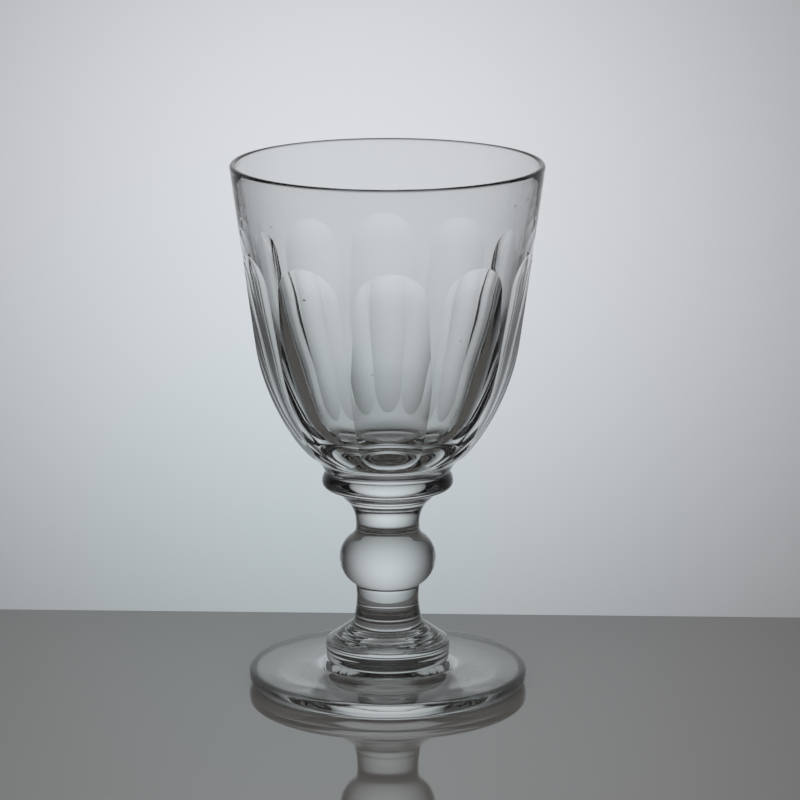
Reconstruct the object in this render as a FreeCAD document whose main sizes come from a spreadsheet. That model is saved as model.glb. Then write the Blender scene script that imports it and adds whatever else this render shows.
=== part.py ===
import FreeCAD, Part
import math
import os
import Sketcher

V = FreeCAD.Vector

# Driving dimensions in millimetres, piece by piece from the table up.
# A height is measured from the lower end of its own piece.
dimensions = {
    # foot: a flat disc with a rounded edge and a slightly hollow underside
    "footRadius": 36.86,
    "footHeight": 7.0,
    "contactWidth": 3.26,         # flat ring that stands on the table
    "edgeLowerRound": 2.6,
    "edgeTopHeight": 3.6,         # where the upright part of the edge ends
    "edgeUpperRound": 1.25,
    "footSweepWidth": 4.2,        # hollow curve from the disc up to the step collar
    "footSweepDrop": 1.1,
    "pontilRadius": 9.5,          # ground and polished mark under the foot
    "pontilRise": 1.6,
    "pontilDepth": 0.9,
    # step collar between the foot and the stem
    "stepJointRadius": 16.2,      # disc shared with the foot
    "stepHeight": 11.9,
    "stepBulge": 0.24,            # how far its widest ring stands out past the joint
    "stepWidestHeight": 3.8,
    "stepRound": 1.8,
    "stepNeckRound": 3.3,
    # stem: lower neck, ball knop, upper neck and the flare under the merese
    "stemFootRadius": 8.7,        # disc shared with the step collar
    "neckInset": 0.5,
    "neckHeight": 4.9,
    "neckSweep": 20.0,
    "underKnopRound": 2.3,
    "knopRadius": 12.75,
    "knopHeight": 15.5,
    "knopLowerRound": 7.9,
    "knopUpperRound": 7.4,
    "overKnopRound": 2.9,
    "upperNeckRadius": 8.37,
    "upperNeckLength": 1.2,
    "stemHeadRise": 16.6,         # from the middle of the knop to the merese
    "stemHeadRadius": 11.75,      # disc shared with the merese
    # merese: the flattened ring of glass under the bowl
    "mereseHeight": 6.9,
    "mereseOverhang": 0.9,        # how far it stands out past the foot of the bowl
    "mereseRimHeight": 4.3,
    "mereseRimRound": 1.6,
    "mereseUnderSweep": 9.5,      # hollow curve of its underside
    # bowl before cutting
    "bowlFootRadius": 16.4,       # disc shared with the merese
    "bowlHeight": 82.1,
    "bellyFootSpread": 3.2,       # where the hollow curve turns into the belly
    "bellyFootHeight": 4.11,
    "bellyTopSpread": 9.25,      # where the belly turns into the shoulder
    "bellyTopHeight": 10.4,
    "shoulderRadius": 34.6,       # where the shoulder turns into the straight wall
    "shoulderHeight": 34.5,
    "lipRadius": 40.22,           # to the middle of the lip
    "lipRound": 0.76,
    "wallThickness": 3.12,        # where the straight inner wall starts to curve in
    "innerBendHeight": 49.7,
    "floorThickness": 6.4,
    "wellRadius": 6.0,            # the flatter middle of the bowl's floor
    "wellRise": 0.5,
    "wellRound": 23.0,            # from the middle of the floor up to the inner wall
    # flutes cut round the bowl, with their depths below its uncut surface
    "fluteCount": 10,
    "fluteTopHeight": 52.45,      # where the wheel starts to leave the glass
    "fluteTopDepth": 1.17,
    "fluteShoulderDepth": 1.54,
    "fluteBellyDepth": 1.3,
    "fluteFootClear": 0.5,        # at the foot of the belly the wheel is this far off the glass
    "wheelRound": 32.0,
    "fluteFootRound": 4.0,
}

doc = FreeCAD.newDocument("rummerGlass")
sheet = doc.addObject("Spreadsheet::Sheet", "Sizes")
for row, (name, value) in enumerate(dimensions.items(), start=1):
    sheet.set("A%d" % row, name)
    sheet.set("B%d" % row, str(value))
    sheet.setAlias("B%d" % row, name)
doc.recompute()


class Size:
    """A length together with the formula that binds it to the sheet."""

    def __init__(self, value, formula):
        self.value = value
        self.formula = formula

    def joined(self, sign, other, value):
        return Size(value, "(%s %s %s)" % (self.formula, sign, other.formula))

    def __add__(self, other):
        return self.joined("+", other, self.value + other.value)

    def __sub__(self, other):
        return self.joined("-", other, self.value - other.value)

    def __mul__(self, other):
        return self.joined("*", other, self.value * other.value)

    def __truediv__(self, other):
        return self.joined("/", other, self.value / other.value)


def size(name):
    return Size(float(sheet.get(name)), "Sizes." + name)


class Place:
    """A point of an outline: how far from the axis, and how high."""

    def __init__(self, across, up):
        self.across = across
        self.up = up
        self.point = V(across.value, up.value)


nought = Size(0, "0")
stepRadius = size("stepJointRadius") + size("stepBulge")
neckRadius = size("stemFootRadius") - size("neckInset")
stemHeight = size("knopHeight") + size("stemHeadRise")
mereseRadius = size("bowlFootRadius") + size("mereseOverhang")
lipHeight = size("bowlHeight") - size("lipRound")


# Plane geometry that gives each sketch its starting shape

def left(heading):
    return V(-heading.y, heading.x)


def toward(start, end, distance):
    return start + (end - start).normalize() * distance


def circleMeet(centreA, radiusA, centreB, radiusB, side):
    """Where two circles meet: side 1 is left of the way from A to B, -1 is right of it."""
    apart = centreB - centreA
    along = (apart.dot(apart) + radiusA ** 2 - radiusB ** 2) / (2 * apart.Length)
    across = math.sqrt(radiusA ** 2 - along ** 2)
    heading = V(apart).normalize()
    return centreA + heading * along + left(heading) * (across * side)


def touching(point, centre, radius, side):
    """Where a line from a point touches a circle, on its left side (1) or its right (-1)."""
    away = centre - point
    reach = math.sqrt(away.dot(away) - radius ** 2)
    heading = V(away).normalize()
    return point + (heading * reach + left(heading) * (radius * side)) * (reach / away.Length)


def arcFrom(start, heading, end):
    """Centre, turn and last heading of the arc that leaves start along heading and ends at end."""
    chord = end - start
    across = left(heading)
    radius = chord.dot(chord) / (2 * chord.dot(across))
    lastHeading = chord * (2 * chord.dot(heading) / chord.dot(chord)) - heading
    return start + across * radius, math.copysign(1, radius), lastHeading


def levelCentre(upright, other):
    """Centre of the arc that stands upright at one end and runs to the other."""
    away = other - upright
    return upright + V(away.dot(away) / (2 * away.x), 0)


class Outline:
    """A closed sketch outline of lines and arcs, drawn in order and held by named sizes."""

    def __init__(self, body, name, role):
        self.sketch = body.newObject("Sketcher::SketchObject", name)
        plane = [item for item in body.Origin.OriginFeatures if item.Role == role][0]
        self.sketch.AttachmentSupport = (plane, "")
        self.sketch.MapMode = "FlatFace"
        self.pieces = []          # geometry number, its first end and its last end

    def line(self, start, end):
        number = self.sketch.addGeometry(Part.LineSegment(start, end))
        self.pieces.append((number, 1, 2))
        return number

    def arc(self, centre, start, end, turn):
        """turn 1 goes counterclockwise from start to end, -1 goes clockwise."""
        first, last = (start, end) if turn > 0 else (end, start)
        angles = [math.atan2(point.y - centre.y, point.x - centre.x) for point in (first, last)]
        circle = Part.Circle(centre, V(0, 0, 1), (start - centre).Length)
        number = self.sketch.addGeometry(Part.ArcOfCircle(circle, angles[0], angles[1]))
        self.pieces.append((number, 1, 2) if turn > 0 else (number, 2, 1))
        return number

    def spot(self, number, which):
        """The sketch's own number for a piece's first end (0), last end (1) or centre (2)."""
        first, last = [(start, end) for piece, start, end in self.pieces if piece == number][0]
        return (first, last, 3)[which]

    def hold(self, kind, *spots):
        return self.sketch.addConstraint(Sketcher.Constraint(kind, *spots))

    def bind(self, length, kind, *spots):
        self.sketch.setExpression("Constraints[%d]" % self.hold(kind, *spots, length.value), length.formula)

    def join(self, smooth):
        """Joins each end to the next start; the pieces in smooth meet the next one tangentially."""
        for index, (number, _, end) in enumerate(self.pieces):
            following, start, _ = self.pieces[(index + 1) % len(self.pieces)]
            self.hold("Tangent" if number in smooth else "Coincident", number, end, following, start)

    def across(self, number, which, length):
        if length is nought:
            self.hold("PointOnObject", number, self.spot(number, which), -2)
        else:
            self.bind(length, "DistanceX", -1, 1, number, self.spot(number, which))

    def up(self, number, which, length):
        if length is nought:
            self.hold("PointOnObject", number, self.spot(number, which), -1)
        else:
            self.bind(length, "DistanceY", -1, 1, number, self.spot(number, which))

    def place(self, number, which, place):
        self.across(number, which, place.across)
        self.up(number, which, place.up)

    def radius(self, number, name):
        self.bind(size(name), "Radius", number)

    def level(self, number, which):
        """Puts an arc's centre level with one of its ends, so the wall stands upright there."""
        self.hold("Horizontal", number, 3, number, self.spot(number, which))

    def plumb(self, number, which):
        self.hold("Vertical", number, 3, number, self.spot(number, which))

    def closeToAxis(self, base, top):
        """Draws the flat top disc, the axis and the flat bottom disc of a solid piece."""
        roof = self.line(top, V(0, top.y))
        axis = self.line(V(0, top.y), V(0, base.y))
        floor = self.line(V(0, base.y), base)
        self.hold("Horizontal", roof)
        self.hold("Vertical", axis)
        self.hold("Horizontal", floor)
        self.place(floor, 0, Place(nought, nought))


def turned(body, outline):
    """Spins an outline round the axis of the piece."""
    feature = body.newObject("PartDesign::Revolution", body.Name + "Turned")
    feature.Profile = outline.sketch
    feature.ReferenceAxis = (outline.sketch, ["V_Axis"])
    feature.Angle = 360
    outline.sketch.Visibility = False
    return feature


def newBody(name, below):
    """A piece that stands on the heights of the pieces below it."""
    body = doc.addObject("PartDesign::Body", name)
    body.Label = name
    if below:
        body.setExpression("Placement.Base.z", " + ".join(height.formula for height in below))
    doc.recompute()
    return body


def makeFoot():
    body = newBody("foot", [])
    rim = size("footRadius")
    lowerCentre = Place(rim - size("edgeLowerRound"), size("edgeLowerRound")).point
    upperCentre = Place(rim - size("edgeUpperRound"), size("edgeTopHeight")).point
    edgeTop = Place(rim, size("edgeTopHeight"))
    contactOuter = V(lowerCentre.x, 0)
    contactInner = Place(rim - size("edgeLowerRound") - size("contactWidth"), nought)
    joint = Place(size("stepJointRadius"), size("footHeight"))
    shelf = Place(size("stepJointRadius") + size("footSweepWidth"), size("footHeight") - size("footSweepDrop"))
    shelfEdge = touching(shelf.point, upperCentre, size("edgeUpperRound").value, 1)
    sweepCentre, turn, _ = arcFrom(shelf.point, (shelf.point - shelfEdge).normalize(), joint.point)
    hollowTop = Place(nought, size("pontilRise") + size("pontilDepth"))
    hollowEdge = Place(size("pontilRadius"), size("pontilRise"))
    depth = size("pontilDepth").value
    hollowRound = (hollowEdge.point.x ** 2 + depth ** 2) / (2 * depth)

    shape = Outline(body, "footOutline", "XZ_Plane")
    hollow = shape.arc(hollowTop.point - V(0, hollowRound), hollowTop.point, hollowEdge.point, -1)
    under = shape.line(hollowEdge.point, contactInner.point)
    ring = shape.line(contactInner.point, contactOuter)
    lowerEdge = shape.arc(lowerCentre, contactOuter, V(rim.value, lowerCentre.y), 1)
    edge = shape.line(V(rim.value, lowerCentre.y), edgeTop.point)
    upperEdge = shape.arc(upperCentre, edgeTop.point, shelfEdge, 1)
    top = shape.line(shelfEdge, shelf.point)
    sweep = shape.arc(sweepCentre, shelf.point, joint.point, turn)
    roof = shape.line(joint.point, V(0, joint.point.y))
    shape.line(V(0, joint.point.y), hollowTop.point)
    shape.join([ring, lowerEdge, edge, upperEdge, top])
    shape.across(hollow, 2, nought)
    shape.place(hollow, 0, hollowTop)
    shape.place(hollow, 1, hollowEdge)
    shape.place(under, 1, contactInner)
    shape.hold("Horizontal", ring)
    shape.radius(lowerEdge, "edgeLowerRound")
    shape.hold("Vertical", edge)
    shape.place(edge, 1, edgeTop)
    shape.radius(upperEdge, "edgeUpperRound")
    shape.place(top, 1, shelf)
    shape.place(sweep, 1, joint)
    shape.hold("Horizontal", roof)
    shape.across(roof, 1, nought)
    turned(body, shape)
    return body


def makeStepCollar():
    body = newBody("step_collar", [size("footHeight")])
    joint = Place(size("stepJointRadius"), nought)
    widest = Place(stepRadius, size("stepWidestHeight"))
    neck = Place(size("stemFootRadius"), size("stepHeight"))
    shoulderRound = size("stepRound").value
    neckRound = size("stepNeckRound").value
    shoulderCentre = widest.point - V(shoulderRound, 0)
    neckCentre = neck.point + V(neckRound, 0)
    # the slope runs between the round of the shoulder and the hollow of the neck
    reach = touching(neckCentre, shoulderCentre, shoulderRound + neckRound, 1)
    slopeStart = toward(shoulderCentre, reach, shoulderRound)
    slopeEnd = neckCentre - (slopeStart - shoulderCentre) * (neckRound / shoulderRound)

    shape = Outline(body, "stepOutline", "XZ_Plane")
    wall = shape.arc(levelCentre(widest.point, joint.point), joint.point, widest.point, 1)
    shoulder = shape.arc(shoulderCentre, widest.point, slopeStart, 1)
    slope = shape.line(slopeStart, slopeEnd)
    fillet = shape.arc(neckCentre, slopeEnd, neck.point, -1)
    shape.closeToAxis(joint.point, neck.point)
    shape.join([shoulder, slope])
    shape.across(wall, 0, joint.across)
    shape.level(wall, 1)
    shape.level(shoulder, 0)
    shape.place(shoulder, 0, widest)
    shape.radius(shoulder, "stepRound")
    shape.radius(fillet, "stepNeckRound")
    shape.level(fillet, 1)
    shape.place(fillet, 1, neck)
    turned(body, shape)
    return body


def makeStem():
    body = newBody("knopped_stem", [size("footHeight"), size("stepHeight")])
    base = Place(size("stemFootRadius"), nought)
    waist = Place(neckRadius, size("neckHeight"))
    widest = Place(size("knopRadius"), size("knopHeight"))
    head = Place(size("stemHeadRadius"), stemHeight)
    neckSweep = size("neckSweep").value
    underRound = size("underKnopRound").value
    overRound = size("overKnopRound").value
    lowerRound = size("knopLowerRound").value
    upperRound = size("knopUpperRound").value
    neckCentre = waist.point + V(neckSweep, 0)
    knopLower = widest.point - V(lowerRound, 0)
    knopUpper = widest.point - V(upperRound, 0)
    underCentre = circleMeet(knopLower, lowerRound + underRound, neckCentre, neckSweep - underRound, -1)
    neckEnd = toward(neckCentre, underCentre, neckSweep)
    knopStart = toward(knopLower, underCentre, lowerRound)
    overAcross = size("upperNeckRadius").value + overRound
    rise = math.sqrt((upperRound + overRound) ** 2 - (overAcross - knopUpper.x) ** 2)
    overCentre = V(overAcross, widest.point.y + rise)
    knopEnd = toward(knopUpper, overCentre, upperRound)
    overEnd = overCentre - V(overRound, 0)
    flareStart = overEnd + V(0, size("upperNeckLength").value)

    shape = Outline(body, "stemOutline", "XZ_Plane")
    lowerNeck = shape.arc(levelCentre(waist.point, base.point), base.point, waist.point, -1)
    midNeck = shape.arc(neckCentre, waist.point, neckEnd, -1)
    under = shape.arc(underCentre, neckEnd, knopStart, -1)
    lowerKnop = shape.arc(knopLower, knopStart, widest.point, 1)
    upperKnop = shape.arc(knopUpper, widest.point, knopEnd, 1)
    over = shape.arc(overCentre, knopEnd, overEnd, -1)
    upperNeck = shape.line(overEnd, flareStart)
    flare = shape.arc(levelCentre(flareStart, head.point), flareStart, head.point, -1)
    shape.closeToAxis(base.point, head.point)
    shape.join([midNeck, under, upperKnop, over, upperNeck])
    shape.across(lowerNeck, 0, base.across)
    shape.level(lowerNeck, 1)
    shape.level(midNeck, 0)
    shape.place(midNeck, 0, waist)
    shape.radius(midNeck, "neckSweep")
    shape.radius(under, "underKnopRound")
    shape.level(lowerKnop, 1)
    shape.level(upperKnop, 0)
    shape.place(upperKnop, 0, widest)
    shape.radius(lowerKnop, "knopLowerRound")
    shape.radius(upperKnop, "knopUpperRound")
    shape.radius(over, "overKnopRound")
    shape.hold("Vertical", upperNeck)
    shape.bind(size("upperNeckLength"), "Distance", upperNeck)
    shape.across(upperNeck, 0, size("upperNeckRadius"))
    shape.place(flare, 1, head)
    turned(body, shape)
    return body


def makeMerese():
    body = newBody("merese", [size("footHeight"), size("stepHeight"), stemHeight])
    base = Place(size("stemHeadRadius"), nought)
    rim = Place(mereseRadius, size("mereseRimHeight"))
    top = Place(size("bowlFootRadius"), size("mereseHeight"))
    rimRound = size("mereseRimRound").value
    sweep = size("mereseUnderSweep").value
    lowerCentre = rim.point - V(rimRound, 0)
    underCentre = circleMeet(base.point, sweep, lowerCentre, sweep + rimRound, -1)
    underEnd = toward(lowerCentre, underCentre, rimRound)

    shape = Outline(body, "mereseOutline", "XZ_Plane")
    under = shape.arc(underCentre, base.point, underEnd, -1)
    lowerRim = shape.arc(lowerCentre, underEnd, rim.point, 1)
    upperRim = shape.arc(levelCentre(rim.point, top.point), rim.point, top.point, 1)
    shape.closeToAxis(base.point, top.point)
    shape.join([under])
    shape.across(under, 0, base.across)
    shape.radius(under, "mereseUnderSweep")
    shape.level(lowerRim, 1)
    shape.level(upperRim, 0)
    shape.place(upperRim, 0, rim)
    shape.radius(lowerRim, "mereseRimRound")
    shape.place(upperRim, 1, top)
    turned(body, shape)
    return body


# Turning points of the bowl's outer surface, from the merese up
bowlBase = Place(size("bowlFootRadius"), nought)
bellyFoot = Place(size("bowlFootRadius") + size("bellyFootSpread"), size("bellyFootHeight"))
bellyTop = Place(size("bowlFootRadius") + size("bellyTopSpread"), size("bellyTopHeight"))
shoulder = Place(size("shoulderRadius"), size("shoulderHeight"))
lip = Place(size("lipRadius"), lipHeight)
# how far the uncut wall leans out for each millimetre above the shoulder
lean = (size("lipRadius") + size("lipRound") - size("shoulderRadius")) / (lipHeight - size("shoulderHeight"))


def blankOutline(body):
    """The blown bowl before cutting: tapered wall, rounded lip, and a thick solid base."""
    lipRound = size("lipRound").value
    floor = Place(nought, size("floorThickness"))
    well = Place(size("wellRadius"), size("floorThickness") + size("wellRise"))
    wallRise = size("innerBendHeight") - size("shoulderHeight")
    bend = Place(size("shoulderRadius") + lean * wallRise - size("wallThickness"), size("innerBendHeight"))
    innerTop = touching(bend.point, lip.point, lipRound, 1)
    outerTop = touching(shoulder.point, lip.point, lipRound, -1)
    wellCentre, _, wellHeading = arcFrom(floor.point, V(1, 0), well.point)
    # a long curve leaves the straight inner wall and touches the round corner of the well
    wellRound = size("wellRound").value
    cornerCentre = well.point + left(wellHeading) * wellRound
    inward = left((innerTop - bend.point).normalize())
    away = bend.point - cornerCentre
    innerRound = (wellRound ** 2 - away.dot(away)) / (2 * (wellRound + inward.dot(away)))
    innerCentre = bend.point + inward * innerRound
    cornerEnd = toward(innerCentre, cornerCentre, innerRound)
    wallHeading = (shoulder.point - outerTop).normalize()
    shoulderCentre, shoulderTurn, shoulderHeading = arcFrom(shoulder.point, wallHeading, bellyTop.point)
    bellyCentre, bellyTurn, bellyHeading = arcFrom(bellyTop.point, shoulderHeading, bellyFoot.point)
    sweepCentre, sweepTurn, _ = arcFrom(bellyFoot.point, bellyHeading, bowlBase.point)

    shape = Outline(body, "bowlOutline", "XZ_Plane")
    wellArc = shape.arc(wellCentre, floor.point, well.point, 1)
    corner = shape.arc(cornerCentre, well.point, cornerEnd, 1)
    innerBelly = shape.arc(innerCentre, cornerEnd, bend.point, 1)
    innerWall = shape.line(bend.point, innerTop)
    rim = shape.arc(lip.point, innerTop, outerTop, -1)
    wall = shape.line(outerTop, shoulder.point)
    shoulderArc = shape.arc(shoulderCentre, shoulder.point, bellyTop.point, shoulderTurn)
    belly = shape.arc(bellyCentre, bellyTop.point, bellyFoot.point, bellyTurn)
    sweep = shape.arc(sweepCentre, bellyFoot.point, bowlBase.point, sweepTurn)
    bottom = shape.line(bowlBase.point, V(0, 0))
    shape.line(V(0, 0), floor.point)
    shape.join([wellArc, corner, innerBelly, innerWall, rim, wall, shoulderArc, belly])
    shape.across(wellArc, 2, nought)
    shape.place(wellArc, 0, floor)
    shape.place(wellArc, 1, well)
    shape.radius(corner, "wellRound")
    shape.place(innerWall, 0, bend)
    shape.place(rim, 2, lip)
    shape.radius(rim, "lipRound")
    shape.place(wall, 1, shoulder)
    shape.place(shoulderArc, 1, bellyTop)
    shape.place(belly, 1, bellyFoot)
    shape.place(sweep, 1, bowlBase)
    shape.place(bottom, 1, Place(nought, nought))
    return shape


def fluteOutline(body):
    """What one pass of the cutting wheel takes off: all glass outside this side view."""
    wallRise = size("fluteTopHeight") - size("shoulderHeight")
    top = Place(size("shoulderRadius") + lean * wallRise - size("fluteTopDepth"), size("fluteTopHeight"))
    middle = Place(shoulder.across - size("fluteShoulderDepth"), shoulder.up)
    low = Place(bellyTop.across - size("fluteBellyDepth"), bellyTop.up)
    foot = Place(bellyFoot.across + size("fluteFootClear"), bellyFoot.up)
    heading = (middle.point - top.point).normalize()
    wheelRound = size("wheelRound").value
    footRound = size("fluteFootRound").value
    wheelCentre = top.point + left(heading) * wheelRound
    wheelStart = wheelCentre + V(0, wheelRound)
    shoulderCentre, shoulderTurn, lowHeading = arcFrom(middle.point, heading, low.point)
    bellyCentre, bellyTurn, footHeading = arcFrom(low.point, lowHeading, foot.point)
    footCentre = foot.point + left(footHeading) * footRound
    footEnd = footCentre - V(0, footRound)
    corner = V(wheelStart.x, footEnd.y)

    shape = Outline(body, "fluteOutline", "YZ_Plane")
    wheel = shape.arc(wheelCentre, wheelStart, top.point, 1)
    facet = shape.line(top.point, middle.point)
    shoulderArc = shape.arc(shoulderCentre, middle.point, low.point, shoulderTurn)
    belly = shape.arc(bellyCentre, low.point, foot.point, bellyTurn)
    runOut = shape.arc(footCentre, foot.point, footEnd, 1)
    below = shape.line(footEnd, corner)
    outside = shape.line(corner, wheelStart)
    shape.join([wheel, facet, shoulderArc, belly])
    shape.radius(wheel, "wheelRound")
    shape.plumb(wheel, 0)
    shape.place(facet, 0, top)
    shape.place(facet, 1, middle)
    shape.place(shoulderArc, 1, low)
    shape.place(belly, 1, foot)
    shape.radius(runOut, "fluteFootRound")
    shape.plumb(runOut, 1)
    shape.hold("Horizontal", below)
    shape.hold("Vertical", outside)
    return shape


def makeBowl():
    body = newBody("bowl", [size("footHeight"), size("stepHeight"), stemHeight, size("mereseHeight")])
    blank = turned(body, blankOutline(body))
    doc.recompute()
    side = fluteOutline(body)
    flute = body.newObject("PartDesign::Pocket", "flute")
    flute.Profile = side.sketch
    flute.Midplane = True
    flute.setExpression("Length", "2 * Sizes.lipRadius")
    side.sketch.Visibility = False
    doc.recompute()
    flutes = body.newObject("PartDesign::PolarPattern", "flutes")
    flutes.Originals = [flute]
    flutes.Axis = (side.sketch, ["V_Axis"])
    flutes.Angle = 360
    flutes.setExpression("Occurrences", "Sizes.fluteCount")
    body.Tip = flutes
    doc.recompute()
    one = blank.Shape.Volume - flute.Shape.Volume
    every = blank.Shape.Volume - flutes.Shape.Volume
    print("bowl blank %.0f mm3, one flute %.1f, all flutes %.1f" % (blank.Shape.Volume, one, every))
    if one <= 0 or every <= one:
        raise RuntimeError("the flutes cut nothing")
    return body


pieces = [makeFoot(), makeStepCollar(), makeStem(), makeMerese(), makeBowl()]
doc.recompute()

for item in doc.Objects:
    if "Invalid" in item.State or "Error" in item.State:
        raise RuntimeError("%s did not compute: %s" % (item.Label, item.State))
    if item.isDerivedFrom("Sketcher::SketchObject") and not item.FullyConstrained:
        raise RuntimeError("%s is loose" % item.Label)
for piece in pieces:
    if piece.Shape.isNull() or not piece.Shape.isValid() or len(piece.Shape.Solids) != 1:
        raise RuntimeError("%s is not one sound solid" % piece.Label)

os.makedirs("parts", exist_ok=True)
for piece in pieces:
    piece.Shape.exportStep("parts/%s.step" % piece.Label)
    centre = piece.Shape.CenterOfGravity
    print("%-13s foot at z %6.2f, centre of mass z %6.2f, volume %9.1f" % (
        piece.Label, piece.Placement.Base.z, centre.z, piece.Shape.Volume))
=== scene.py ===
import bisect
import math
import bmesh
import bpy
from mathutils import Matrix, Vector


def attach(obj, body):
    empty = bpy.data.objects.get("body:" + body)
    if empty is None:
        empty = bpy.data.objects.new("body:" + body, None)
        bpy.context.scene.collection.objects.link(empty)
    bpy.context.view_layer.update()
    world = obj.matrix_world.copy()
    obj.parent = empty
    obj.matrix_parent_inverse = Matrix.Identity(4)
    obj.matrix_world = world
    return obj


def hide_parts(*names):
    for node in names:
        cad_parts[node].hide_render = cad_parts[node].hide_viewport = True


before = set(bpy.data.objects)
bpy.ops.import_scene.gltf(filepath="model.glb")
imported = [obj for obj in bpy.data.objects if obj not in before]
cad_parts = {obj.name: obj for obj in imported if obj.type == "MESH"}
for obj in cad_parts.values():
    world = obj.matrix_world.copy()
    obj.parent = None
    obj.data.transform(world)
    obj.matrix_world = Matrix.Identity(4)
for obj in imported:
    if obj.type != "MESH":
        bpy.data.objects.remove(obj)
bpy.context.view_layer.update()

scene = bpy.context.scene
mm = 0.001
glassSlot, jointSlot = 0, 1   # material numbers on every piece: its glass and its joint discs


# the camera, in metres and degrees
shot = {
    "distance": 1.0121,       # from the axis of the glass, measured level
    "height": 0.3110,
    "around": -1.65,          # so the front flute sits a little to the right
    "pitch": 13.02,
    "aside": 0.184,           # the glass stands left of the middle of the picture
    "lens": 177.98, "sensor": 36.0,   # millimetres
    "nearest": 0.05, "farthest": 20.0,
}


def makeCamera():
    data = bpy.data.cameras.new("camera")
    data.sensor_width = shot["sensor"]
    data.lens = shot["lens"]
    data.clip_start = shot["nearest"]
    data.clip_end = shot["farthest"]
    camera = bpy.data.objects.new("camera", data)
    scene.collection.objects.link(camera)
    turn = math.radians(shot["around"])
    away = shot["distance"]
    camera.location = (away * math.sin(turn), -away * math.cos(turn), shot["height"])
    camera.rotation_euler = (
        math.radians(90.0 - shot["pitch"]), 0.0, turn - math.radians(shot["aside"]))
    scene.camera = camera
    bpy.context.view_layer.update()
    return camera


camera = makeCamera()
print("camera set")


# plane geometry for the turned outlines, in millimetres
onLeft, onRight = 1, -1
anticlockwise, clockwise = 1, -1
tiny = 1e-6                   # less than this counts as nothing
discStep = 4.0                # width of the rings of faces in a joint disc
widestTurn = math.radians(6)  # the most that an arc turns from point to point


def leftOf(way):
    return Vector((-way.y, way.x))


def touching(point, centre, radius, side):
    # where a line from a point touches a circle, on one side of the way to its centre
    away = centre - point
    reach = math.sqrt(away.dot(away) - radius ** 2)
    way = away.normalized()
    return point + (way * reach + leftOf(way) * (radius * side)) * (reach / away.length)


def circlesMeet(centreA, radiusA, centreB, radiusB, side):
    # where two circles cross, on one side of the way from the first centre to the second
    apart = centreB - centreA
    along = (apart.dot(apart) + radiusA ** 2 - radiusB ** 2) / (2 * apart.length)
    across = math.sqrt(radiusA ** 2 - along ** 2)
    way = apart.normalized()
    return centreA + way * along + leftOf(way) * (across * side)


def arcLeaving(start, way, end):
    # centre, turn and last heading of the arc that leaves start along way and reaches end
    chord = end - start
    across = leftOf(way)
    radius = chord.dot(chord) / (2 * chord.dot(across))
    lastWay = chord * (2 * chord.dot(way) / chord.dot(chord)) - way
    return start + across * radius, math.copysign(1, radius), lastWay


def levelCentre(upright, other):
    # centre of the arc through both points that stands upright at the first
    away = other - upright
    return upright + Vector((away.dot(away) / (2 * away.x), 0))


def toward(start, end, distance):
    return start + (end - start).normalized() * distance


class Outline:
    # points of a turned shape, drawn from the axis at the bottom, outwards and up

    def __init__(self, start):
        self.points = [Vector(start)]
        self.joints = set()       # numbers of the steps that are fused joint discs

    def disc(self, end):
        self.line(end, step=discStep, joint=True)

    def line(self, end, step=2.0, joint=False):
        start = self.points[-1]
        end = Vector(end)
        count = max(1, math.ceil((end - start).length / step))
        for number in range(1, count + 1):
            if joint:
                self.joints.add(len(self.points) - 1)
            self.points.append(start.lerp(end, number / count))

    def arc(self, centre, end, turn, step=0.8):
        start = self.points[-1] - centre
        away = Vector(end) - centre
        first = math.atan2(start.y, start.x)
        sweep = (math.atan2(away.y, away.x) - first) * turn % (2 * math.pi)
        radius = start.length
        count = max(3, math.ceil(sweep / widestTurn), math.ceil(sweep * radius / step))
        for number in range(1, count + 1):
            angle = first + turn * sweep * number / count
            self.points.append(centre + Vector((math.cos(angle), math.sin(angle))) * radius)
        self.points[-1] = Vector(end)


def around(angle, radius, height):
    # place in metres of a point at an angle round the axis, counted from the front
    return (radius * math.sin(angle) * mm, -radius * math.cos(angle) * mm, height * mm)


def turned(outline, segments, lift):
    # spins an outline round the axis; its ends on the axis become single points
    mesh = bmesh.new()
    rings = []
    for point in outline.points:
        if point.x < tiny:
            rings.append([mesh.verts.new((0, 0, (point.y + lift) * mm))])
            continue
        ring = []
        for number in range(segments):
            angle = 2 * math.pi * number / segments
            ring.append(mesh.verts.new(around(angle, point.x, point.y + lift)))
        rings.append(ring)
    for step in range(len(rings) - 1):
        low, high = rings[step], rings[step + 1]
        for number in range(segments):
            following = (number + 1) % segments
            corners = []
            for ring, index in ((low, number), (low, following), (high, following), (high, number)):
                vert = ring[index % len(ring)]
                if vert not in corners:
                    corners.append(vert)
            face = mesh.faces.new(corners)
            face.material_index = jointSlot if step in outline.joints else glassSlot
    return mesh


hardEdge = math.radians(9.5)  # faces that meet at more than this have an arris between them


def finished(name, mesh, materials):
    # smooth faces, with a hard edge wherever two faces meet at an arris
    for face in mesh.faces:
        face.smooth = True
    for edge in mesh.edges:
        if len(edge.link_faces) == 2 and edge.calc_face_angle(0) > hardEdge:
            edge.smooth = False
    data = bpy.data.meshes.new(name)
    mesh.to_mesh(data)
    mesh.free()
    for material in materials:
        data.materials.append(material)
    piece = bpy.data.objects.new(name, data)
    scene.collection.objects.link(piece)
    return piece


def settle(piece, node):
    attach(piece, "root")
    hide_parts(node)


def newMaterial(name):
    material = bpy.data.materials.new(name)
    material.use_nodes = True
    nodes = material.node_tree.nodes
    nodes.clear()
    output = nodes.new("ShaderNodeOutputMaterial")
    return material, nodes, material.node_tree.links, output


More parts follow.
